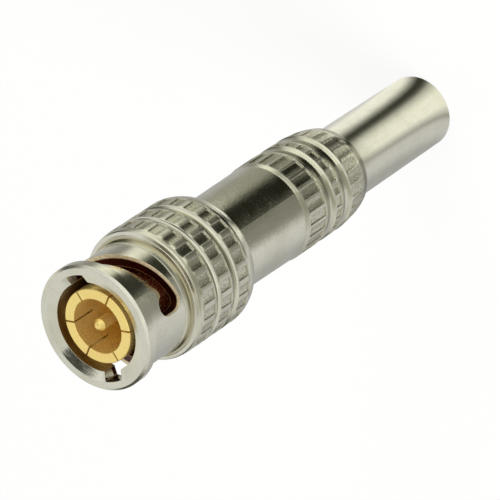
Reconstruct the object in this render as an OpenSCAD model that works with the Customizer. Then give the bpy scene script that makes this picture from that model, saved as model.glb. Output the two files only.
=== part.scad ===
// Bayonet plug for coaxial cable, with a long screwed tail.
// Stands on the rim of its tail tube; +Z points to the mating face.
// Positions called "back" are distances behind the mating face.

/* [Overall] */
// Length from the mating face to the rim of the tail tube
total_l = 59.5; // [50:0.1:70]
// Gap on radius between parts that turn or slide in one another
running_gap = 0.06; // [0.02:0.01:0.1]
// Turn of the entry notches about the axis
notch_turn = 71; // [0:1:180]

/* [Coupling nut] */
// Radius of the front collar
collar_r = 6.85; // [6.4:0.05:7.2]
// Length of the front collar
collar_l = 1.37; // [1:0.01:2]
// Bevel on the front edge of the collar
collar_bevel = 0.28; // [0.1:0.01:0.5]
// Radius of the neck that carries the bayonet slots
neck_r = 6.2; // [5.9:0.05:6.5]
// Bore that takes the barrel of the mating socket
socket_bore_r = 4.9; // [4.85:0.01:5]
// Depth of the shallow funnel at the mouth
funnel_d = 0.41; // [0.2:0.01:0.8]
// Radius at the floor of the two entry notches
notch_floor_r = 5.83; // [5.6:0.01:6]
// Width of the entry notches
notch_w = 2.22; // [2.1:0.01:2.4]
// Width of the bayonet slots
slot_w = 2.34; // [2.1:0.01:2.5]
// Distance back to the start of the slot
slot_start_back = 2.75; // [2.6:0.01:4]
// Distance back to the end of the slot ramp
slot_end_back = 5.55; // [5:0.01:6]
// How much the slot's ramp flattens toward its end
slot_bow = 0.33; // [0:0.01:0.6]
// Turn of the slot from the notch to the locking hole
slot_sweep = 91; // [80:0.5:100]
// Distance back to the locking hole
lock_back = 4.62; // [4.2:0.01:5]
// Radius of the locking hole
lock_r = 1.15; // [1.05:0.01:1.25]
// Height of the hump a pin climbs before it locks
hump_h = 0.3; // [0:0.01:0.5]
// Distance back to the small lip behind the neck
lip_back = 7.16; // [6.8:0.01:7.3]
// Height of the small lip
lip_h = 0.07; // [0.05:0.01:0.2]
// Distance back to the step in front of the grip
step_back = 8.1; // [7.9:0.01:8.3]
// Radius of that step
step_r = 6.66; // [6.4:0.01:6.9]
// Wall of the front grip outside the spring chamber
grip_wall = 1.25; // [1.1:0.01:1.4]
// Distance back to the front edge of the grip
grip_back = 8.24; // [8.15:0.01:8.8]
// Distance back to the rear edge of the nut
nut_end_back = 18.47; // [17.5:0.01:19]
// Distance from the grip's front edge to its first pockets
nut_row_a = 0.66; // [0.5:0.01:1]
// Length of a pocket in the first row on the nut
nut_pocket_l = 1.95; // [1.5:0.01:2.2]
// Width of the round groove behind the first row
nut_groove_a_w = 0.7; // [0.5:0.01:1]
// Width of the round groove behind the second row
nut_groove_b_w = 0.98; // [0.5:0.01:1.2]
// Land between a row of pockets and a groove
land_w = 0.14; // [0.08:0.01:0.3]
// Depth of the grooves between the rows
groove_d = 0.3; // [0.15:0.01:0.4]
// Number of knurl pockets around the front grip
nut_pockets = 25; // [20:1:30]
// Width of a knurl pocket on the nut
nut_pocket_w = 1.12; // [0.8:0.01:1.4]
// Depth of a knurl pocket
pocket_d = 0.3; // [0.15:0.01:0.4]
// Turn of the nut's knurl about the axis
nut_knurl_turn = 11.7; // [0:0.1:14.4]

/* [Spring stack] */
// Distance back to the front of the body flange
flange_back = 10.2; // [9.8:0.01:11]
// Thickness of the body flange
flange_t = 2.6; // [1:0.01:3]
// Radius of the chamber that holds the spring stack
chamber_r = 6; // [5.8:0.01:6.2]
// Radial room beside the body tube in the spring chamber
stack_w = 1.25; // [0.9:0.01:1.4]
// Free height of one wave washer
wave_h = 0.9; // [0.6:0.01:1.2]
// Thickness of wave washer strip
wave_t = 0.25; // [0.15:0.01:0.4]
// Thickness of the thrust washer
thrust_t = 0.6; // [0.4:0.01:1]
// Thickness of the retaining ring
ring_t = 0.86; // [0.6:0.01:1.1]
// Depth of the retaining ring's groove
ring_groove_d = 0.4; // [0.2:0.01:0.5]

/* [Front contacts] */
// Distance back to the front of the slotted contact
collet_back = 0.6; // [0.4:0.01:1]
// Outer radius of the slotted contact at its tip
collet_r = 4.07; // [4:0.01:4.15]
// Bore of the slotted contact
collet_bore_r = 2.96; // [2.8:0.01:3.1]
// Length of the contact's slots
collet_slot_l = 3.3; // [2.5:0.1:4.5]
// Width of the contact's slots
collet_slot_w = 0.2; // [0.1:0.01:0.4]
// Turn of the contact's slots about the axis
collet_turn = 25.5; // [0:0.5:60]
// Radius of the centre pin
pin_r = 0.67; // [0.65:0.01:0.7]
// Distance back to the tip of the centre pin
pin_back = 0.5; // [0.3:0.01:1.2]
// Radius of the pin's rear end with the solder cup
cup_r = 1.05; // [0.9:0.01:1.3]
// Distance back to the front insulator
insul_back = 7; // [6:0.1:8]
// Distance back to the joint between the two insulators
insul_split_back = 14; // [13:0.1:15]

/* [Body and barrel] */
// Wall of the body tube behind the flange
body_wall = 0.9; // [0.6:0.01:1.1]
// Distance back to the rear end of the body tube
body_end_back = 20; // [19:0.1:21]
// Distance back to the front end of the barrel
barrel_back = 16.6; // [16.4:0.1:17.5]
// How much wider the barrel's radius is at its rear
barrel_flare = 0.15; // [0:0.01:0.2]
// Wall of the barrel round the body tube
barrel_wall = 0.6; // [0.4:0.01:0.8]
// Distance back to the seam between barrel and clamp nut
seam_back = 29.5; // [29:0.01:30]
// Wall of the barrel outside its threaded bore
thread_wall = 0.4; // [0.3:0.01:0.5]

/* [Cable clamp] */
// Thickness of the braid clamp's flange
braid_flange_t = 0.8; // [0.5:0.01:1.2]
// Length of the braid clamp's nose
braid_nose_l = 2.4; // [1.5:0.1:3]
// Length of the rubber clamp gasket
clamp_gasket_l = 3.1; // [2:0.1:4]
// Wall of the rubber clamp gasket
clamp_gasket_wall = 1.62; // [1.4:0.01:1.9]
// Thickness of the slip washer
slip_t = 0.6; // [0.4:0.01:1]

/* [Clamp nut and tail] */
// Radius of the rear grip
rear_grip_r = 5.62; // [5.4:0.01:5.8]
// Distance back to the rear end of the clamp nut
clamp_end_back = 42.3; // [41:0.01:43]
// Distance from the seam to the first row of pockets
rear_row_a = 0.62; // [0.5:0.01:1]
// Length of a pocket in the first row of the rear grip
rear_pocket_a = 2.98; // [2.5:0.01:3.2]
// Length of a pocket in the second row of the rear grip
rear_pocket_b = 1; // [0.8:0.01:1.3]
// Length of a pocket in the third row of the rear grip
rear_pocket_c = 2.95; // [2.5:0.01:3.2]
// Width of the grooves on the rear grip
rear_groove_w = 1.66; // [1.3:0.01:1.8]
// Length of the rounded rear end of the clamp nut
dome_l = 4.1; // [3:0.01:4.2]
// Number of knurl pockets around the rear grip
rear_pockets = 24; // [20:1:30]
// Width of a knurl pocket on the rear grip
rear_pocket_w = 1.05; // [0.8:0.01:1.2]
// Turn of the rear knurl about the axis
rear_knurl_turn = 8.7; // [0:0.1:15]
// Bore of the clamp nut
clamp_bore_r = 3.9; // [3.6:0.01:4.1]
// Distance back to the front end of the tail tube
tail_back = 37.5; // [36:0.1:39]
// Outer radius of the tail tube
tail_r = 4.2; // [4:0.01:4.4]
// Outer radius of the tail tube just before its rim
tail_rim_r = 4.12; // [4:0.01:4.4]
// Bore of the tail tube
tail_bore_r = 3.5; // [3.2:0.01:3.8]

/* [Hidden] */
$fn = 96;
grip_r = chamber_r + grip_wall;
body_r = chamber_r - stack_w;
barrel_front_r = body_r + barrel_wall;
barrel_rear_r = barrel_front_r + barrel_flare;
thread_r = barrel_front_r - thread_wall;
body_bore_r = body_r - body_wall;
insul_lip = 3;
cup_l = 4.4;
rear_insul_l = 2.4;
gasket_l = 0.9;
cut_past = 0.7;
nut_b_back = grip_back + nut_row_a + nut_pocket_l;
nut_ga_back = nut_b_back + land_w;
nut_row_b_back = nut_ga_back + nut_groove_a_w + land_w;
nut_gb_back = nut_row_b_back + nut_pocket_l - 0.1 + land_w;
nut_row_c_back = nut_gb_back + nut_groove_b_w + land_w;
rear_a_back = seam_back + rear_row_a;
rear_ga_back = rear_a_back + rear_pocket_a + land_w;
rear_b_back = rear_ga_back + rear_groove_w + land_w;
rear_gb_back = rear_b_back + rear_pocket_b + land_w;
rear_c_back = rear_gb_back + rear_groove_w + land_w;
dome_back = clamp_end_back - dome_l;
chamber_back = flange_back;
wave_back = flange_back + flange_t;
thrust_back = wave_back + 2 * wave_h;
ring_back = thrust_back + thrust_t;
flange_r = chamber_r - running_gap;
thrust_r = chamber_r - running_gap;
shank_r = thread_r - running_gap;
braid_back = body_end_back;
clamp_gasket_back = braid_back + braid_flange_t;
slip_back = clamp_gasket_back + clamp_gasket_l;
shank_back = slip_back + slip_t;
clamp_fill_r = thread_r - 0.23;
clamp_gasket_bore_r = clamp_fill_r - clamp_gasket_wall;

// A turned shape from points of distance back and radius.
module turned(points) {
    rotate_extrude()
        polygon([for (p = points) [p[1], total_l - p[0]]]);
}

// A plain ring between two distances back.
module ring(r_out, r_in, back_a, back_b) {
    turned([[back_a, r_in], [back_a, r_out], [back_b, r_out], [back_b, r_in]]);
}

// One row of knurl pockets cut to a floor radius.
module pockets(count, turn, floor_r, width, back_a, back_b) {
    for (i = [0 : count - 1])
        rotate([0, 0, turn + i * 360 / count])
            translate([floor_r, -width / 2, total_l - back_b])
                cube([2, width, back_b - back_a]);
}

// Profile points of a round groove, its steeper side at the rear.
function groove(back, w, r) = [
    [back, r], [back + w * 0.2, r - groove_d * 0.6], [back + w * 0.46, r - groove_d],
    [back + w * 0.7, r - groove_d * 0.84], [back + w * 0.88, r - groove_d * 0.46],
    [back + w, r]];

// Distance along the neck surface for a turn away from the notch.
function arc_at(a) = neck_r * a * PI / 180;
function disc(a, a0, r) = sqrt(max(0, r * r - pow(arc_at(a - a0), 2)));
function in_disc(a, a0, r) = abs(arc_at(a - a0)) <= r + 0.001;
slot_rise = slot_end_back - slot_start_back;
slope = slot_rise / arc_at(slot_sweep);
slot_half = slot_w / 2;
band_half = slot_half * sqrt(1 + slope * slope);
start_span = slot_half / arc_at(1);
lock_span = lock_r / arc_at(1);
function ramp_at(a) = let (q = a / slot_sweep)
    slot_start_back + slot_rise * (q * (1 + slot_bow) - slot_bow * q * q);
function on_ramp(a) = a >= 0 && a <= slot_sweep;
function hump_at(a) = exp(-pow((a - slot_sweep + 15.5) / 5.5, 2));

// Front and rear edge of the slot at a turn a from the notch.
function front_edge(a) = min(
    in_disc(a, 0, slot_half) ? slot_start_back - disc(a, 0, slot_half) : 99,
    on_ramp(a) ? ramp_at(a) - band_half + hump_at(a) * hump_h : 99,
    in_disc(a, slot_sweep, lock_r) ? lock_back - disc(a, slot_sweep, lock_r) : 99);
function rear_edge(a) = max(
    in_disc(a, 0, slot_half) ? slot_start_back + disc(a, 0, slot_half) : -99,
    on_ramp(a) ? ramp_at(a) + band_half : -99,
    a > slot_sweep ? slot_end_back + disc(a, slot_sweep, lock_r) : -99);

slot_stations = concat(
    [for (k = [0 : 7]) -start_span * cos(k * 90 / 8 + 1)],
    [for (k = [0 : 26]) k * (slot_sweep - lock_span - 2) / 26],
    [for (k = [0 : 13]) slot_sweep - lock_span * cos(k * 180 / 13)]);

// The space one bayonet slot takes out of the neck wall.
module slot_space() {
    n = len(slot_stations);
    low = socket_bore_r - cut_past;
    high = neck_r + cut_past;
    pts = [for (a = slot_stations) for (c = [[low, 0], [high, 0], [high, 1], [low, 1]])
        let (back = c[1] == 0 ? front_edge(a) - 0.001 : rear_edge(a) + 0.001)
            [c[0] * cos(-a), c[0] * sin(-a), total_l - back]];
    side = [for (i = [0 : n - 2]) for (k = [0 : 3])
        let (p = 4 * i + k, q = 4 * i + (k + 1) % 4)
            each [[p, q, p + 4], [q, q + 4, p + 4]]];
    e = 4 * (n - 1);
    caps = [[0, 3, 2], [0, 2, 1], [e, e + 1, e + 2], [e, e + 2, e + 3]];
    polyhedron(points = pts, faces = concat(side, caps));
}

module coupling_nut() {
    color("#b9b7a6")
    difference() {
        turned(concat(
            [[0, notch_floor_r], [0, collar_r - collar_bevel],
             [collar_bevel, collar_r], [collar_l - 0.08, collar_r],
             [collar_l, collar_r - 0.08], [collar_l + 0.05, neck_r],
             [lip_back, neck_r], [lip_back + 0.03, neck_r + lip_h],
             [lip_back + 0.31, neck_r + lip_h], [lip_back + 0.34, neck_r],
             [step_back - 0.4, neck_r + 0.02], [step_back - 0.2, neck_r + 0.08],
             [step_back - 0.09, neck_r + 0.18], [step_back, step_r],
             [step_back + 0.06, step_r + 0.04], [grip_back, grip_r - 0.2],
             [grip_back + 0.16, grip_r - 0.1], [grip_back + 0.5, grip_r - 0.04],
             [grip_back + 1.1, grip_r]],
            groove(nut_ga_back, nut_groove_a_w, grip_r),
            groove(nut_gb_back, nut_groove_b_w, grip_r),
            [[nut_end_back - 1.75, grip_r], [nut_end_back - 1.37, grip_r - 0.05],
             [nut_end_back - 0.87, grip_r - 0.2], [nut_end_back - 0.42, grip_r - 0.38],
             [nut_end_back - 0.12, grip_r - 0.55], [nut_end_back, grip_r - 0.75],
             [nut_end_back, chamber_r + 0.2], [nut_end_back - 0.2, chamber_r],
             [ring_back + ring_t + 0.04, chamber_r],
             [ring_back + ring_t + 0.04, chamber_r + ring_groove_d],
             [ring_back, chamber_r + ring_groove_d], [ring_back, chamber_r],
             [chamber_back, chamber_r], [chamber_back, socket_bore_r],
             [funnel_d, socket_bore_r]]));
        pockets(nut_pockets, nut_knurl_turn, grip_r - pocket_d, nut_pocket_w,
                grip_back + nut_row_a, nut_b_back);
        pockets(nut_pockets, nut_knurl_turn, grip_r - pocket_d, nut_pocket_w,
                nut_row_b_back, nut_gb_back - land_w);
        pockets(nut_pockets, nut_knurl_turn, grip_r - pocket_d, nut_pocket_w,
                nut_row_c_back, nut_row_c_back + nut_pocket_l - 0.2);
        for (side = [0, 180])
            rotate([0, 0, notch_turn + side]) {
                slot_space();
                intersection() {
                    translate([socket_bore_r - cut_past, -notch_w / 2, total_l - slot_start_back])
                        cube([neck_r, notch_w, slot_start_back + 1]);
                    translate([0, 0, total_l - slot_start_back - 1])
                        cylinder(r = notch_floor_r, h = slot_start_back + 3);
                }
            }
    }
}

module retaining_ring() {
    color("#8f8f88")
    difference() {
        ring(chamber_r + ring_groove_d - 0.05, chamber_r - stack_w * 0.4,
             ring_back, ring_back + ring_t);
        rotate([0, 0, 200])
            translate([0, -1.3, total_l - ring_back - ring_t - 1])
                cube([9, 2.6, ring_t + 2]);
    }
}

module thrust_washer() {
    color("#a9a79a")
    ring(thrust_r, body_r + running_gap, thrust_back, thrust_back + thrust_t);
}

// A thin washer bent into three waves.
module wave_washer(back, turn) {
    n = 48;
    r_in = body_r + stack_w * 0.12;
    r_out = chamber_r - stack_w * 0.2;
    lift = (wave_h - wave_t) / 2;
    pts = [for (i = [0 : n - 1])
        let (a = i * 360 / n, mid = total_l - back - wave_h / 2 + lift * cos(3 * a + turn))
            each [[r_in * cos(a), r_in * sin(a), mid - wave_t / 2],
                  [r_out * cos(a), r_out * sin(a), mid - wave_t / 2],
                  [r_out * cos(a), r_out * sin(a), mid + wave_t / 2],
                  [r_in * cos(a), r_in * sin(a), mid + wave_t / 2]]];
    side = [for (i = [0 : n - 1]) for (k = [0 : 3])
        let (p = 4 * i + k, q = 4 * i + (k + 1) % 4, m = 4 * n)
            each [[p, (p + 4) % m, q], [q, (p + 4) % m, (q + 4) % m]]];
    polyhedron(points = pts, faces = side);
}

module wave_washer_front() {
    color("#9a9a92")
    wave_washer(wave_back, 0);
}

module wave_washer_rear() {
    color("#9a9a92")
    wave_washer(wave_back + wave_h, 180);
}

module face_gasket() {
    color("#7a2a1a")
    ring(socket_bore_r - 0.35, collet_r - 0.12, flange_back - gasket_l, flange_back);
}

module outer_contact() {
    color("#d9b25a")
    difference() {
        turned([
            [collet_back, collet_bore_r + 0.06], [collet_back, collet_r - 0.08],
            [collet_back + 0.08, collet_r], [collet_back + 1.5, collet_r],
            [collet_back + 1.9, collet_r - 0.12], [flange_back, collet_r - 0.12],
            [insul_split_back, collet_r - 0.12], [insul_split_back, collet_bore_r],
            [collet_back + 0.06, collet_bore_r]]);
        for (i = [0 : 5])
            rotate([0, 0, collet_turn + 60 * i])
                translate([collet_bore_r - 0.5, -collet_slot_w / 2,
                           total_l - collet_back - collet_slot_l])
                    cube([3, collet_slot_w, collet_slot_l + 1]);
    }
}

module front_insulator() {
    color("#f2f0ea")
    turned([[insul_back, pin_r], [insul_back, collet_bore_r],
            [insul_split_back, collet_bore_r], [insul_split_back, cup_r],
            [insul_back + insul_lip, cup_r], [insul_back + insul_lip, pin_r]]);
}

module centre_contact() {
    color("#d9b25a")
    difference() {
        turned([[pin_back, 0], [pin_back, 0.2], [pin_back + 0.12, 0.38],
                [pin_back + 0.55, pin_r], [insul_back + insul_lip, pin_r],
                [insul_back + insul_lip, cup_r], [insul_split_back + cup_l, cup_r],
                [insul_split_back + cup_l, 0]]);
        translate([0, 0, total_l - insul_split_back - cup_l - 1])
            cylinder(r = cup_r * 0.57, h = cup_l - 0.6);
        translate([0, 0, total_l - insul_split_back - rear_insul_l - 0.8])
            rotate([0, 90, 0])
                cylinder(r = cup_r / 3, h = 3 * cup_r, $fn = 24);
    }
}

module rear_insulator() {
    color("#f2f0ea")
    ring(body_bore_r, cup_r, insul_split_back, insul_split_back + rear_insul_l);
}

module plug_body() {
    color("#b9b7a6")
    turned([[flange_back, collet_r - 0.12], [flange_back, flange_r],
            [wave_back, flange_r], [wave_back, body_r],
            [body_end_back, body_r], [body_end_back, body_bore_r + 0.2],
            [body_end_back - 0.2, body_bore_r],
            [insul_split_back, body_bore_r], [insul_split_back, collet_r - 0.12]]);
}

module barrel() {
    color("#b9b7a6")
    turned([[barrel_back, body_r], [barrel_back, barrel_front_r - 0.1],
            [barrel_back + 0.15, barrel_front_r],
            [seam_back - 0.08, barrel_rear_r], [seam_back, barrel_rear_r - 0.07],
            [seam_back, thread_r], [body_end_back, thread_r],
            [body_end_back, body_r]]);
}

module braid_clamp() {
    bore_r = body_bore_r - 1.15;
    color("#b9b7a6")
    turned([[braid_back - braid_nose_l, bore_r], [braid_back - braid_nose_l, bore_r + 0.4],
            [braid_back, bore_r + 0.8], [braid_back, clamp_fill_r],
            [clamp_gasket_back, clamp_fill_r], [clamp_gasket_back, bore_r]]);
}

module clamp_gasket() {
    color("#2b2b2b")
    turned([[clamp_gasket_back, clamp_gasket_bore_r], [clamp_gasket_back, clamp_fill_r],
            [clamp_gasket_back + 0.9, clamp_fill_r],
            [clamp_gasket_back + clamp_gasket_l / 2, clamp_fill_r - 0.7],
            [slip_back - 0.9, clamp_fill_r], [slip_back, clamp_fill_r],
            [slip_back, clamp_gasket_bore_r]]);
}

module slip_washer() {
    color("#a9a79a")
    ring(clamp_fill_r, clamp_fill_r - 1.32, slip_back, slip_back + slip_t);
}

module clamp_nut() {
    color("#b9b7a6")
    difference() {
        turned(concat(
            [[shank_back, clamp_bore_r], [shank_back, shank_r - 0.2],
             [shank_back + 0.2, shank_r], [seam_back, shank_r],
             [seam_back, barrel_rear_r - 0.02], [seam_back + 0.48, rear_grip_r]],
            groove(rear_ga_back, rear_groove_w, rear_grip_r),
            groove(rear_gb_back, rear_groove_w, rear_grip_r),
            [for (d = [[0, 0.014], [0.12, 0.05], [0.3, 0.1], [0.51, 0.2], [0.7, 0.33],
                       [0.85, 0.47], [0.95, 0.65], [1, 0.845]])
                [dome_back + dome_l * d[0], rear_grip_r - (rear_grip_r - tail_r) * d[1]]],
            [[clamp_end_back, tail_r],
             [tail_back, tail_r], [tail_back, clamp_bore_r]]));
        pockets(rear_pockets, rear_knurl_turn, rear_grip_r - pocket_d, rear_pocket_w,
                rear_a_back, rear_ga_back - land_w);
        pockets(rear_pockets, rear_knurl_turn, rear_grip_r - pocket_d, rear_pocket_w,
                rear_b_back, rear_gb_back - land_w);
        pockets(rear_pockets, rear_knurl_turn, rear_grip_r - pocket_d, rear_pocket_w,
                rear_c_back, rear_c_back + rear_pocket_c);
    }
}

module tail_tube() {
    color("#c4c2b2")
    turned([[tail_back, tail_bore_r], [tail_back, tail_r],
            [clamp_end_back, tail_r], [total_l - 2.4, tail_rim_r + 0.02],
            [total_l - 0.3, tail_rim_r], [total_l - 0.08, tail_rim_r - 0.08],
            [total_l, tail_rim_r - 0.25], [total_l, tail_bore_r + 0.2],
            [total_l - 0.2, tail_bore_r]]);
}

coupling_nut();
retaining_ring();
thrust_washer();
wave_washer_front();
wave_washer_rear();
face_gasket();
outer_contact();
front_insulator();
centre_contact();
rear_insulator();
plug_body();
barrel();
braid_clamp();
clamp_gasket();
slip_washer();
clamp_nut();
tail_tube();
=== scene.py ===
import bpy, math
from mathutils import Vector, Matrix


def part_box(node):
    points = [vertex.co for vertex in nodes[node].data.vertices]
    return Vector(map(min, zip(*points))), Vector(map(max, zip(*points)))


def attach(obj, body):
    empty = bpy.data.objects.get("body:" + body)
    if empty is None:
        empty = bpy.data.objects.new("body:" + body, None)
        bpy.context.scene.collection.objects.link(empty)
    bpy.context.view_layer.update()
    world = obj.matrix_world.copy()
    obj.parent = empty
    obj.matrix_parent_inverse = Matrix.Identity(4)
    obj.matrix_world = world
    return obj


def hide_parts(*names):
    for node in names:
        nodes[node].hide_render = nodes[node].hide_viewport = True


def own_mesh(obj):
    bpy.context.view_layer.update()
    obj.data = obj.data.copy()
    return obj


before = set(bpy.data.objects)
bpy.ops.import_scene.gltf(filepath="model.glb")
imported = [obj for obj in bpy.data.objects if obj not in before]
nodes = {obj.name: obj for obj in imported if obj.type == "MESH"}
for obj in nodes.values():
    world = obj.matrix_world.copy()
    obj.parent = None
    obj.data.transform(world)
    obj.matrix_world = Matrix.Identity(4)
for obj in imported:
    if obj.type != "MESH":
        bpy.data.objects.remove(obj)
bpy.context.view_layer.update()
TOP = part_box("coupling_nut")[1][2]      # height of the mating face, in metres
MM = 1000.0                             # millimetres in a metre
DEGREES = 180 / math.pi                 # degrees in a radian

# ---------------------------------------------------------------- sizes and colours
# Sizes are in mm, rows and grooves are spans behind the mating face, colours are linear.
# A grip's knurl has pockets in rows. In the solid their floors lie at cad_floor. Wear and
# plating leave them at worn_floor, in front of worn_until. Under shade_r a pocket is painted
# darker as shade and a groove darkens with painted shade; over it a rib is rubbed. crest is the
# rounding of the ribs' edges, and swell bulges them. A grip may also have a span at its rear end
# that is painted darker as shade.
NUT_GRIP = {"rows": [(8.90, 10.85), (11.83, 13.68), (14.94, 16.69)],
            "grooves": [(10.9, 11.5), (13.7, 14.5)], "crevice_shade": None,
            "cad_floor": 6.95, "worn_floor": 7.12, "worn_until": 17.0, "shade_r": 7.19,
            "crest": 0.16, "pockets": 25, "first_pocket": 11.7, "swell": 0.04}
REAR_GRIP = {"rows": [(30.12, 33.10), (35.04, 36.04), (37.98, 40.93)],
             "grooves": [(33.2, 34.2), (36.1, 37.0)], "crevice_shade": (39.7, 40.9),
             "cad_floor": 5.32, "worn_floor": 5.48, "worn_until": 39.5, "shade_r": 5.565,
             "crest": 0.14, "pockets": 24, "first_pocket": 8.7, "swell": 0.03}
# colours of painted shade: in a knurl's pockets, broken by lighter specks, in its grooves, and at a
# grip's rear end
GRIP_SHADE, GRIP_SPECK = (0.34, 0.32, 0.23), (0.84, 0.83, 0.70)
GROOVE_SHADE, CREVICE_SHADE = (0.34, 0.32, 0.22), (0.16, 0.145, 0.09)

SLOT_FRONT, SLOT_BACK = 1.46, 7.1       # the span that holds the slots' walls
SLOT_R = 6.195                          # just inside the collar's outer radius
LIT_STRIP_IN, LIT_STRIP_OUT = 5.72, 5.86          # the slots' walls carry a painted highlight outside this
CONE_R, CONE_BACK = 5.82, 0.42          # the polished lead-in at the mouth
SLOT_START, SLOT_TURN = 71.0, 91.0      # a slot's first degree and the degrees it runs
PEAK_AT, PEAK_WIDTH = 0.83, 0.06        # the hump before its end, as shares of its run
NECK_NOOK, NECK_R = (7.70, 8.10), 6.64  # the corner between the collar and the grip, painted darker as shade
BORE_R, BORE_BACK = 4.95, (0.40, 0.46)  # the nut's bore, behind the lead-in, painted with the gold contact's reflection
# painted dark red shade and a painted highlight for the slots' walls, painted shade for the neck's
# corner, a painted reflection of the gold contact for the bore, and brass where plating is rubbed
# through
SLOT_RED_SHADE, SLOT_LIT_STRIP, SLOT_LIT_STRIP_DARK = (0.055, 0.011, 0.006), (0.86, 0.74, 0.52), (0.60, 0.48, 0.28)
BRASS, NECK_SHADE, BORE_REFLECTION = (0.80, 0.50, 0.16), (0.38, 0.34, 0.19), (0.64, 0.50, 0.24)
DEEP_BACK, DEEP_R, DEEP_SHADE = 3.2, (3.6, 3.7), (0.34, 0.06, 0.03)  # painted dark red shade deep between the contacts

NICKEL, NICKEL_WORN = (0.84, 0.83, 0.73), (0.56, 0.54, 0.43)
TUBE, TUBE_WORN = (0.87, 0.86, 0.77), (0.66, 0.64, 0.54)
GOLD, GOLD_WORN = (1.0, 0.79, 0.29), (0.85, 0.56, 0.16)
STEEL, STEEL_WORN = (0.60, 0.60, 0.58), (0.40, 0.39, 0.35)

# How fine each noise is, in waves to the metre, and how deep its marks are, in metres.
CLOUDS, DENTS, FLECKS, FINE = 330.0, 1300.0, 2600.0, 4200.0
GRIT, RUBBED, DEEP_EDGE, MOULDED = 6500.0, 4800.0, 4600.0, 900.0
GRAIN_DEPTH = 0.00003


# ---------------------------------------------------------------- node helper
def is_socket(value):
    return isinstance(value, bpy.types.NodeSocket)


class Net:
    """A short way to write the node tree of a material or a world."""

    def __init__(self, name, kind=bpy.data.materials):
        self.owner = kind.new(name)
        self.owner.use_nodes = True
        self.tree = self.owner.node_tree
        self.tree.nodes.clear()

    def add(self, kind, **settings):
        node = self.tree.nodes.new(kind)
        for key, value in settings.items():
            setattr(node, key, value)
        return node

    def feed(self, socket, value):
        """Links a socket to another node's output, or sets its constant."""
        if is_socket(value):
            self.tree.links.new(value, socket)
        else:
            socket.default_value = value

    def put(self, node, **inputs):
        """Feeds sockets by name, or by number as _0, _1 and so on."""
        for key, value in inputs.items():
            self.feed(node.inputs[int(key[1:]) if key[0] == "_" else key], value)
        return node

    def math(self, operation, a, b=None, clamp=False):
        node = self.add("ShaderNodeMath", operation=operation, use_clamp=clamp)
        self.feed(node.inputs[0], a)
        if b is not None:
            self.feed(node.inputs[1], b)
        return node.outputs[0]

    def plus(self, a, b):
        return self.math("ADD", a, b)

    def times(self, first, *others):
        for other in others:
            first = self.math("MULTIPLY", first, other)
        return first

    def any_of(self, masks):
        total = masks[0]
        for mask in masks[1:]:
            total = self.math("ADD", total, mask, clamp=True)
        return total

    def ramp(self, fac, stops):
        node = self.add("ShaderNodeValToRGB")
        elements = node.color_ramp.elements
        while len(elements) < len(stops):
            elements.new(0.5)
        for element, (position, colour) in zip(elements, stops):
            element.position = position
            element.color = (*colour, 1)
        return self.put(node, _0=fac).outputs[0]

    def mix(self, fac, a, b):
        node = self.add("ShaderNodeMix", data_type="RGBA")
        a, b = [colour if is_socket(colour) else (*colour, 1) for colour in (a, b)]
        return self.put(node, _0=fac, _6=a, _7=b).outputs[2]

    def blend_shaders(self, fac, a, b):
        return self.put(self.add("ShaderNodeMixShader"), _0=fac, _1=a, _2=b).outputs[0]

    def span(self, value, low, high, at_low=0.0, at_high=1.0):
        """A straight slope from one value to another, level on both sides."""
        node = self.add("ShaderNodeMapRange")
        return self.put(node, _0=value, _1=low, _2=high, _3=at_low, _4=at_high).outputs[0]

    def between(self, value, low, high, soft=0.02):
        """1 inside a span, falling to 0 over a soft edge."""
        rise, fall = [self.add("ShaderNodeMapRange", interpolation_type="SMOOTHSTEP")
                      for _ in range(2)]
        self.put(rise, _0=value, _1=low - soft, _2=low + soft)
        self.put(fall, _0=value, _1=high - soft, _2=high + soft, _3=1.0, _4=0.0)
        return self.times(rise.outputs[0], fall.outputs[0])

    def rows(self, value, spans, soft=0.02):
        return self.any_of([self.between(value, low, high, soft) for low, high in spans])

    def noise(self, vector, scale, detail, rough):
        node = self.add("ShaderNodeTexNoise")
        return self.put(node, Vector=vector, Scale=scale, Detail=detail, Roughness=rough).outputs[0]

    def bump(self, height, strength, distance, normal=None):
        node = self.put(self.add("ShaderNodeBump"), Strength=strength, Distance=distance,
                        Height=height)
        if normal is not None:
            self.put(node, Normal=normal)
        return node.outputs[0]

    def axes(self, source):
        """A texture coordinate, and its x, y and z."""
        position = self.add("ShaderNodeTexCoord").outputs[source]
        return position, self.put(self.add("ShaderNodeSeparateXYZ"), _0=position).outputs

    def turn(self, x, y):
        """Degrees about the plug's axis."""
        return self.times(self.math("ARCTAN2", y, x), DEGREES)

    def polar(self):
        """Position in metres, mm from the axis, degrees about it, and mm behind the face."""
        position, axes = self.axes("Object")
        x, y, z = [self.times(axis, MM) for axis in axes]
        radius = self.math("SQRT", self.plus(self.times(x, x), self.times(y, y)))
        return position, radius, self.turn(x, y), self.math("SUBTRACT", TOP * MM, z)


class Coat:
    """The colour, roughness and bump height of a material, built up mask by mask."""

    def __init__(self, net, colour, rough, height):
        self.net, self.colour, self.rough, self.height = net, colour, rough, height

    def paint(self, mask, colour, amount=None):
        if amount is not None:
            mask = self.net.times(mask, amount)
        self.colour = self.net.mix(mask, self.colour, colour)

    def roughen(self, mask, amount):
        self.rough = self.net.plus(self.rough, self.net.times(mask, amount))

    def lift(self, mask, amount):
        self.height = self.net.plus(self.height, self.net.times(mask, amount))

    def finish(self, shader, strength, normal=None):
        """Joins the coat to its shader, and gives the finished material."""
        net = self.net
        net.put(shader, Roughness=self.rough, **{"Base Color": self.colour},
                Normal=net.bump(self.height, strength, GRAIN_DEPTH, normal))
        net.put(net.add("ShaderNodeOutputMaterial"), _0=shader.outputs[0])
        return net.owner


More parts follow.
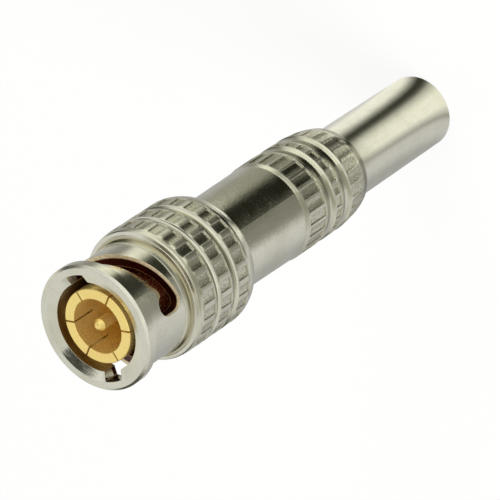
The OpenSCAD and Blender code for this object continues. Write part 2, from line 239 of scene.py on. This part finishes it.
# ---------------------------------------------------------------- materials
def shade_grip(net, coat, grip, at):
    """Painted shade in a knurl's pockets, grooves and rear end, with lighter specks in the pockets,
    and rubbed ribs between them.
    """
    # the grip's rear end is painted darker as shade
    if grip["crevice_shade"]:
        coat.paint(net.span(at["back"], *grip["crevice_shade"]), CREVICE_SHADE, 0.72)
    # pockets under the shade radius are painted darker as shade, broken by lighter specks
    shaded_pit = net.times(net.rows(at["back"], grip["rows"]),
                    net.math("LESS_THAN", at["radius"], grip["shade_r"]))
    speck = net.noise(at["position"], GRIT, 4.0, 0.7)
    coat.paint(shaded_pit, net.mix(net.span(speck, 0.36, 0.60), GRIP_SHADE, GRIP_SPECK), 0.85)
    coat.roughen(shaded_pit, 0.04)
    rib = net.times(net.rows(at["back"], grip["rows"], 0.1),
                    net.math("GREATER_THAN", at["radius"], grip["shade_r"]))
    coat.roughen(rib, 0.17)
    coat.lift(net.times(shaded_pit, speck), 4.0)
    # grooves darken towards their floors with painted shade
    shaded_groove = net.times(net.rows(at["back"], grip["grooves"]),
                    net.span(at["radius"], grip["shade_r"] + 0.02, grip["shade_r"] - 0.20))
    coat.paint(shaded_groove, GROOVE_SHADE, 0.7)


def radial_share(net, position):
    """How far a face looks straight out from the axis: 1 on the outside, 0 on a slot's wall."""
    normal = net.add("ShaderNodeVectorTransform", vector_type="NORMAL", convert_from="WORLD",
                     convert_to="OBJECT")
    net.put(normal, Vector=net.add("ShaderNodeNewGeometry").outputs["True Normal"])
    flat = net.put(net.add("ShaderNodeVectorMath", operation="MULTIPLY"),
                   _0=position, _1=(1.0, 1.0, 0.0))
    out = net.put(net.add("ShaderNodeVectorMath", operation="NORMALIZE"), _0=flat.outputs[0])
    dot = net.put(net.add("ShaderNodeVectorMath", operation="DOT_PRODUCT"),
                  _0=normal.outputs[0], _1=out.outputs[0])
    return net.math("ABSOLUTE", dot.outputs["Value"])


def slot_front_edge(net, share):
    """Mm behind the face of a bayonet slot's front edge: a slope that eases off, with a hump."""
    slope = net.math("SUBTRACT", net.times(share, 1.33), net.times(share, share, 0.33))
    off = net.math("DIVIDE", net.math("SUBTRACT", share, PEAK_AT), PEAK_WIDTH)
    hump = net.math("POWER", 2.718, net.times(net.math("POWER", off, 2.0), -1.0))
    return net.plus(net.times(slope, 2.8), net.plus(net.times(hump, 0.3), 1.53))


def shade_and_wear_slots(net, coat, shader, at, fine):
    """The coupling nut's slots, its mouth and its bore: painted dark red shade on the slots' walls
    with a painted highlight at their outer edge, brass rubbed through along their front edges,
    painted shade in the neck's corner, and a painted reflection of the gold contact on the bore.
    """
    wall = net.math("LESS_THAN", radial_share(net, at["position"]), 0.4)
    wall = net.times(wall, net.between(at["back"], SLOT_FRONT, SLOT_BACK, 0.01))
    wall = net.times(wall, net.math("LESS_THAN", at["radius"], SLOT_R))
    # a strip at the slots' outer edge is a painted highlight, pale gold and less metallic
    lit_strip = net.times(wall, net.span(at["radius"], LIT_STRIP_IN, LIT_STRIP_OUT))
    net.put(shader, Metallic=net.math("SUBTRACT", 1.0, net.times(lit_strip, 0.55)))
    # the slots' walls are painted dark red as shade
    coat.paint(wall, SLOT_RED_SHADE)
    coat.paint(lit_strip, net.mix(net.span(fine, 0.45, 0.72), SLOT_LIT_STRIP, SLOT_LIT_STRIP_DARK))
    coat.roughen(wall, 0.22)
    coat.roughen(net.times(net.math("LESS_THAN", at["radius"], CONE_R),
                           net.math("LESS_THAN", at["back"], CONE_BACK)), -0.12)
    # plating rubbed through to brass along the front edge, where the socket's studs climb
    past = net.math("FLOORED_MODULO", net.math("SUBTRACT", SLOT_START, at["turn"]), 180.0)
    share = net.math("DIVIDE", past, SLOT_TURN)
    off = net.math("SUBTRACT", slot_front_edge(net, share), at["back"])
    rub = net.times(net.span(off, 0.55, 0.25), net.between(share, 0.30, 0.98, 0.08),
                    net.span(off, -0.3, -0.2),
                    net.span(net.noise(at["position"], RUBBED, 4.0, 0.7), 0.44, 0.52))
    coat.paint(rub, BRASS, 0.9)
    coat.roughen(rub, 0.15)
    # the corner between the collar and the grip is painted darker as shade
    coat.paint(net.times(net.between(at["back"], *NECK_NOOK, 0.12),
                         net.math("LESS_THAN", at["radius"], NECK_R)), NECK_SHADE, 0.8)
    # the bore is painted brass-coloured as a reflection of the gold contact
    bore = net.times(net.math("LESS_THAN", at["radius"], BORE_R),
                     net.span(at["back"], *BORE_BACK))
    coat.paint(bore, BORE_REFLECTION)
    coat.roughen(bore, 0.12)


def round_ribs(net, grip, at, normal):
    """The pockets and the ribs between them are rounded over, as in a casting."""
    wave = net.math("COSINE", net.times(net.math("SUBTRACT", at["turn"], grip["first_pocket"]),
                                        grip["pockets"] / DEGREES))
    rows = net.rows(at["back"], grip["rows"], 0.22)
    return net.bump(net.times(rows, net.math("SUBTRACT", 1.0, wave)), 1.0, grip["swell"] / MM,
                    normal)


def metal(name, base, dark, rough, dent=1.6, stain=0.35, edge=0.07, metallic=1.0, grip=None,
          slots=False, deep=False):
    """Plated metal: turning marks round the axis, cloudy tarnish, soft edges, and painted shade,
    highlights and reflections in its hollows.
    """
    net = Net(name)
    shader = net.put(net.add("ShaderNodeBsdfPrincipled"), Metallic=metallic)
    at = dict(zip(("position", "radius", "turn", "back"), net.polar()))
    # turning marks: fast along the profile, slow around it
    angle = net.times(at["turn"], 1 / DEGREES)
    lines = net.add("ShaderNodeCombineXYZ")
    net.put(lines, X=net.times(net.plus(at["back"], at["radius"]), 9.0),
            Y=net.times(net.math("SINE", angle), 1.3), Z=net.times(net.math("COSINE", angle), 1.3))
    mark = net.noise(lines.outputs[0], 1.0, 4.0, 0.65)
    cloud = net.noise(at["position"], CLOUDS, 5.0, 0.6)
    dents = net.noise(at["position"], DENTS, 4.0, 0.7)
    fine = net.noise(at["position"], FINE, 3.0, 0.6)
    grime = net.span(cloud, 0.42, 0.74)
    coat = Coat(net, base, rough - 0.05, net.times(mark, 0.8))
    coat.paint(grime, dark, stain)
    coat.paint(net.span(fine, 0.45, 0.8), dark, 0.22)
    coat.paint(net.span(dents, 0.55, 0.75), dark, 0.25)
    coat.roughen(net.plus(mark, fine), 0.06)
    coat.roughen(grime, 0.08)
    coat.lift(fine, 0.25)
    coat.lift(dents, dent)
    flecks = net.span(net.noise(at["position"], FLECKS, 3.0, 0.75), 0.58, 0.70)
    coat.roughen(net.times(flecks, net.span(cloud, 0.46, 0.66)), 0.11)
    if grip:
        shade_grip(net, coat, grip, at)
    if slots:
        shade_and_wear_slots(net, coat, shader, at, fine)
    if deep:
        # the gold contact is painted dark red as shade deep between the contacts
        far_in = net.times(net.span(at["back"], DEEP_BACK - 0.5, DEEP_BACK + 0.5),
                           net.span(at["radius"], *DEEP_R),
                           net.span(net.noise(at["position"], DEEP_EDGE, 3.0, 0.7), 0.64, 0.58))
        coat.paint(far_in, DEEP_SHADE)
    bevel = net.put(net.add("ShaderNodeBevel", samples=6), Radius=edge / MM)
    normal = bevel.outputs[0]
    if grip:
        wide = net.rows(at["back"], [(a - 0.1, b + 0.1) for a, b in grip["rows"]], 0.1)
        net.put(bevel, Radius=net.span(wide, 0.0, 1.0, edge / MM, grip["crest"] / MM))
        normal = round_ribs(net, grip, at, normal)
    return coat.finish(shader, 0.16, normal)


def soft(name, base, dark, rough, subsurface=0.0):
    """Moulded rubber or plastic with a fine grain."""
    net = Net(name)
    shader = net.add("ShaderNodeBsdfPrincipled")
    if subsurface:
        net.put(shader, **{"Subsurface Weight": subsurface, "Subsurface Scale": 0.0006})
    grain = net.noise(net.axes("Object")[0], MOULDED, 4.0, 0.6)
    coat = Coat(net, base, rough - 0.05, grain)
    coat.paint(grain, dark)
    coat.roughen(grain, 0.12)
    return coat.finish(shader, 0.15)


nickel = metal("nickel_plate", NICKEL, NICKEL_WORN, 0.17, grip=NUT_GRIP, slots=True)
nickel_grip = metal("nickel_rear_grip", NICKEL, NICKEL_WORN, 0.17, grip=REAR_GRIP)
nickel_body = metal("nickel_body", NICKEL, NICKEL_WORN, 0.18, dent=6.0)
nickel_tube = metal("nickel_tube", TUBE, TUBE_WORN, 0.15, stain=0.25)
gold = metal("gold_plate", GOLD, GOLD_WORN, 0.24, edge=0.05, metallic=0.75, deep=True)
steel = metal("spring_steel", STEEL, STEEL_WORN, 0.28, edge=0.04)
# the front insulator is painted gold-orange: a reflection of the gold contacts painted onto a pale
# insulator
insulator_gold_reflection = soft("front_insulator_gold_reflection", (0.78, 0.50, 0.15), (0.66, 0.40, 0.11), 0.35)
ptfe = soft("white_fluoropolymer", (0.88, 0.87, 0.84), (0.80, 0.79, 0.75), 0.45, subsurface=0.25)
silicone = soft("red_silicone", (0.30, 0.055, 0.03), (0.22, 0.04, 0.02), 0.50)
rubber = soft("black_rubber", (0.035, 0.035, 0.035), (0.02, 0.02, 0.02), 0.62)

looks = {"coupling_nut": nickel, "retaining_ring": steel, "thrust_washer": steel,
         "wave_washer_front": steel, "wave_washer_rear": steel, "face_gasket": silicone,
         "outer_contact": gold, "front_insulator": insulator_gold_reflection, "centre_contact": gold,
         "rear_insulator": ptfe, "plug_body": nickel_body, "barrel": nickel_body,
         "braid_clamp": nickel_body, "clamp_gasket": rubber, "slip_washer": steel,
         "clamp_nut": nickel_grip, "tail_tube": nickel_tube}


def dress(mesh, material):
    mesh.materials.clear()
    mesh.materials.append(material)


for node, material in looks.items():
    dress(nodes[node].data, material)


# ---------------------------------------------------------------- pieces
def show(name, data):
    """A new object in the scene."""
    o = bpy.data.objects.new(name, data)
    bpy.context.scene.collection.objects.link(o)
    return o


def place(mesh, name, body, node):
    """A piece that stands for a CAD node and takes its look."""
    o = show(name, mesh)
    dress(mesh, looks[node])
    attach(o, body)
    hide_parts(node)
    return o


def worn_knurl(node, name, body, grip):
    """The node's own shape, with the knurl's pockets filled up to their worn depth."""
    mesh = nodes[node].data.copy()
    for v in mesh.vertices:
        radius = math.hypot(v.co.x, v.co.y) * MM
        back = (TOP - v.co.z) * MM
        on_floor = grip["cad_floor"] - 0.01 < radius < grip["cad_floor"] + 0.03
        in_row = any(a - 0.02 < back < b + 0.02 for a, b in grip["rows"])
        if on_floor and in_row and back < grip["worn_until"]:
            v.co.x *= grip["worn_floor"] / radius
            v.co.y *= grip["worn_floor"] / radius
    place(mesh, name, body, node)


def wave_spring(node, name, back, turn):
    """A flat wire ring bent into three waves, with rounded edges.

    It starts back mm behind the mating face."""
    r_in, r_out, half, lift, corner, steps, waves = 4.90, 5.75, 0.125, 0.325, 0.05, 144, 3
    section = [(r_in + corner, -half), (r_out - corner, -half),
               (r_out, -half + corner), (r_out, half - corner),
               (r_out - corner, half), (r_in + corner, half),
               (r_in, half - corner), (r_in, -half + corner)]
    k = len(section)
    verts, faces = [], []
    for i in range(steps):
        a = 2 * math.pi * i / steps
        middle = TOP * MM - back - (half + lift) + lift * math.cos(waves * a + turn)
        verts += [(r * math.cos(a) / MM, r * math.sin(a) / MM, (middle + h) / MM)
                  for r, h in section]
        here, ahead = i * k, (i + 1) % steps * k
        faces += [(ahead + j, ahead + (j + 1) % k, here + (j + 1) % k, here + j)
                  for j in range(k)]
    mesh = bpy.data.meshes.new(name)
    mesh.from_pydata(verts, [], faces)
    o = place(mesh, name, "body", node)
    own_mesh(o)


worn_knurl("coupling_nut", "coupling_nut_worn", "nut", NUT_GRIP)
worn_knurl("clamp_nut", "clamp_nut_worn", "clamp", REAR_GRIP)
wave_spring("wave_washer_front", "wave_spring_front", 12.8, 0.0)
wave_spring("wave_washer_rear", "wave_spring_rear", 13.7, math.pi)

# ---------------------------------------------------------------- floor and studio
# The camera sees a plain pale floor and white. Glossy and transmission rays see studio cards:
# greys that change with the turn about the plug, in rings on the floor and in bands in the room.
# Each stop of a card is degrees, brightness, and blue's share of that brightness. The levels were
# set from how bright the photographed metal is round the plug.
NEAR = [(-180, .4, .98), (-95, .42, .98), (-65, .62, .96), (-45, .60, .95), (-35, .38, .9),
        (-27, .64, .9), (-17, .95, .86), (8, .95, .86), (17, .74, .84), (27, .46, .85),
        (35, .13, .8), (42, .045, .75), (50, .05, .75), (60, .32, .85), (68, .66, .9),
        (78, .95, .88), (103, 1.0, .90), (122, .7, .96), (180, .5, .98)]
FAR = [(-180, .42, .98), (-140, .42, .98), (-110, .46, .98), (-88, .62, .97), (-62, .72, .97),
       (-52, .66, .95), (-43, .34, .88), (-32, .25, .86), (-12, .24, .85), (-2, .20, .84),
       (5, .07, .7), (12, .012, .6), (48, .012, .6), (57, .10, .75), (66, .26, .8),
       (80, .30, .8), (104, .34, .85), (126, .46, .95), (180, .5, .98)]
EDGE = [(-180, .42, .98), (-140, .42, .98), (-110, .50, .98), (-88, .60, .97), (-60, .70, .97),
        (-50, .62, .95), (-41, .36, .9), (-30, .30, .9), (-18, .30, .9), (-11, .20, .84),
        (0, .12, .8), (8, .03, .7), (16, .02, .7), (46, .025, .65), (53, .14, .75),
        (60, .80, .8), (74, 1.0, .84), (86, .75, .85), (98, .26, .85), (112, .30, .9),
        (130, .44, .95), (180, .5, .98)]
OUT = [(-180, .72, .9), (-162, .72, .9), (-150, .10, .8), (-122, .08, .8), (-108, .66, .9),
       (-76, .66, .9), (-60, .34, .75), (-15, .32, .7), (8, .92, .84), (70, .92, .84),
       (90, .75, .9), (104, .14, .8), (126, .08, .8), (138, .75, .9), (180, .72, .9)]
MIDDLE = [(-180, .72, .95), (-90, .7, .95), (-30, .95, .95), (30, .95, .95), (90, .7, .95),
          (180, .72, .95)]
HIGH = [(-180, .62, .95), (-60, .7, .9), (30, .6, .92), (60, .06, .8), (112, .05, .8),
        (122, .95, .95), (180, .7, .95)]
GREEN = 0.995                           # green's share of a card's brightness
NEAR_END, FAR_END, EDGE_END = (18.0, 25.0), (45.0, 52.0), (80.0, 140.0)   # mm from the axis
SPOT_R, SPOT_TURN, SPOT_TONE = (62.8, 70.0), (-16.0, 3.0), (0.62, 0.61, 0.52)
MIDDLE_START, HIGH_START = (0.25, 0.5), (0.76, 0.81)      # as the height of a ray's direction
FLOOR_HALF, FLOOR_TONE, FLOOR_WHITE = 3.0, (0.86, 0.86, 0.85, 1), 0.86
WHITE = (1, 1, 1, 1)


def cards(net, turn, stops):
    share = net.plus(net.math("DIVIDE", turn, 360.0), 0.5)
    return net.ramp(share, [((degrees + 180) / 360, (v, v * GREEN, v * blue))
                            for degrees, v, blue in stops])


def glow(net, kind, colour):
    return net.put(net.add(kind), Color=colour, Strength=1.0).outputs[0]


net = Net("pale_floor")
_, radius, turn, _ = net.polar()
card = net.mix(net.span(radius, *NEAR_END), cards(net, turn, NEAR), cards(net, turn, FAR))
card = net.mix(net.span(radius, *FAR_END), card, cards(net, turn, EDGE))
spot = net.times(net.between(radius, *SPOT_R, 0.6), net.between(turn, *SPOT_TURN, 6.0))
card = net.mix(spot, card, SPOT_TONE)
card = net.mix(net.span(radius, *EDGE_END), card, cards(net, turn, OUT))
pale = net.put(net.add("ShaderNodeBsdfDiffuse"), Color=FLOOR_TONE).outputs[0]
ray = net.add("ShaderNodeLightPath").outputs
mirror = net.math("MAXIMUM", ray["Is Glossy Ray"], ray["Is Transmission Ray"])
seen = net.blend_shaders(mirror, pale, glow(net, "ShaderNodeEmission", card))
seen = net.blend_shaders(net.times(ray["Is Camera Ray"], FLOOR_WHITE), seen,
                         glow(net, "ShaderNodeEmission", WHITE))
net.put(net.add("ShaderNodeOutputMaterial"), _0=seen)

floor_mesh = bpy.data.meshes.new("floor")
corners = [(-1, -1), (1, -1), (1, 1), (-1, 1)]
floor_mesh.from_pydata([(x * FLOOR_HALF, y * FLOOR_HALF, 0.0) for x, y in corners], [],
                       [(0, 1, 2, 3)])
floor_mesh.materials.append(net.owner)
floor = show("floor", floor_mesh)

# the room is white to the camera, and cards at three heights to every other ray
net = Net("studio", bpy.data.worlds)
bpy.context.scene.world = net.owner
_, (x, y, z) = net.axes("Generated")
turn = net.turn(x, y)
room = net.mix(net.span(z, *MIDDLE_START), cards(net, turn, OUT), cards(net, turn, MIDDLE))
room = net.mix(net.span(z, *HIGH_START), room, cards(net, turn, HIGH))
seen = net.blend_shaders(net.add("ShaderNodeLightPath").outputs["Is Camera Ray"],
                         glow(net, "ShaderNodeBackground", room),
                         glow(net, "ShaderNodeBackground", WHITE))
net.put(net.add("ShaderNodeOutputWorld"), _0=seen)

# ---------------------------------------------------------------- camera
TILT = math.radians(44.1)               # between the plug's axis and the line of sight
ROLL = math.radians(34.2)               # how far the tail rises to the right in the frame
DISTANCE = 0.392                        # metres from the mating face
FACE_X, FACE_Y = -0.015568, -0.007864   # where the mating face sits from the middle of the view
SENSOR, LENS, CLIP_START = 36.0, 283.5, 0.01
right = Vector((math.cos(TILT) * math.cos(ROLL), -math.sin(ROLL), -math.sin(TILT) * math.cos(ROLL)))
up = Vector((math.cos(TILT) * math.sin(ROLL), math.cos(ROLL), -math.sin(TILT) * math.sin(ROLL)))
towards = Vector((math.sin(TILT), 0.0, math.cos(TILT)))
stand = Vector((0, 0, TOP)) - right * FACE_X - up * FACE_Y + towards * DISTANCE
cam_data = bpy.data.cameras.new("camera")
cam_data.sensor_width, cam_data.lens, cam_data.clip_start = SENSOR, LENS, CLIP_START
cam = show("camera", cam_data)
cam.matrix_world = Matrix.Translation(stand) @ Matrix((right, up, towards)).transposed().to_4x4()
bpy.context.scene.camera = cam


# ---------------------------------------------------------------- lights
def softbox(name, location, size, power):
    """A lamp aimed at the plug. Metal shows the cards and not the lamp itself."""
    lamp = bpy.data.lights.new(name, "AREA")
    lamp.shape = "RECTANGLE"
    lamp.size, lamp.size_y = size
    lamp.energy = power
    o = show(name, lamp)
    o.location = location
    o.visible_glossy = False
    aim = Vector((0, 0, 0.03)) - Vector(location)
    o.rotation_euler = aim.to_track_quat("-Z", "Y").to_euler()


softbox("key", (0.25, -0.45, 0.55), (0.35, 0.35), 3.0)
softbox("fill", (0.3, 0.5, 0.45), (0.5, 0.3), 1.5)

bpy.context.scene.view_settings.view_transform = "Standard"
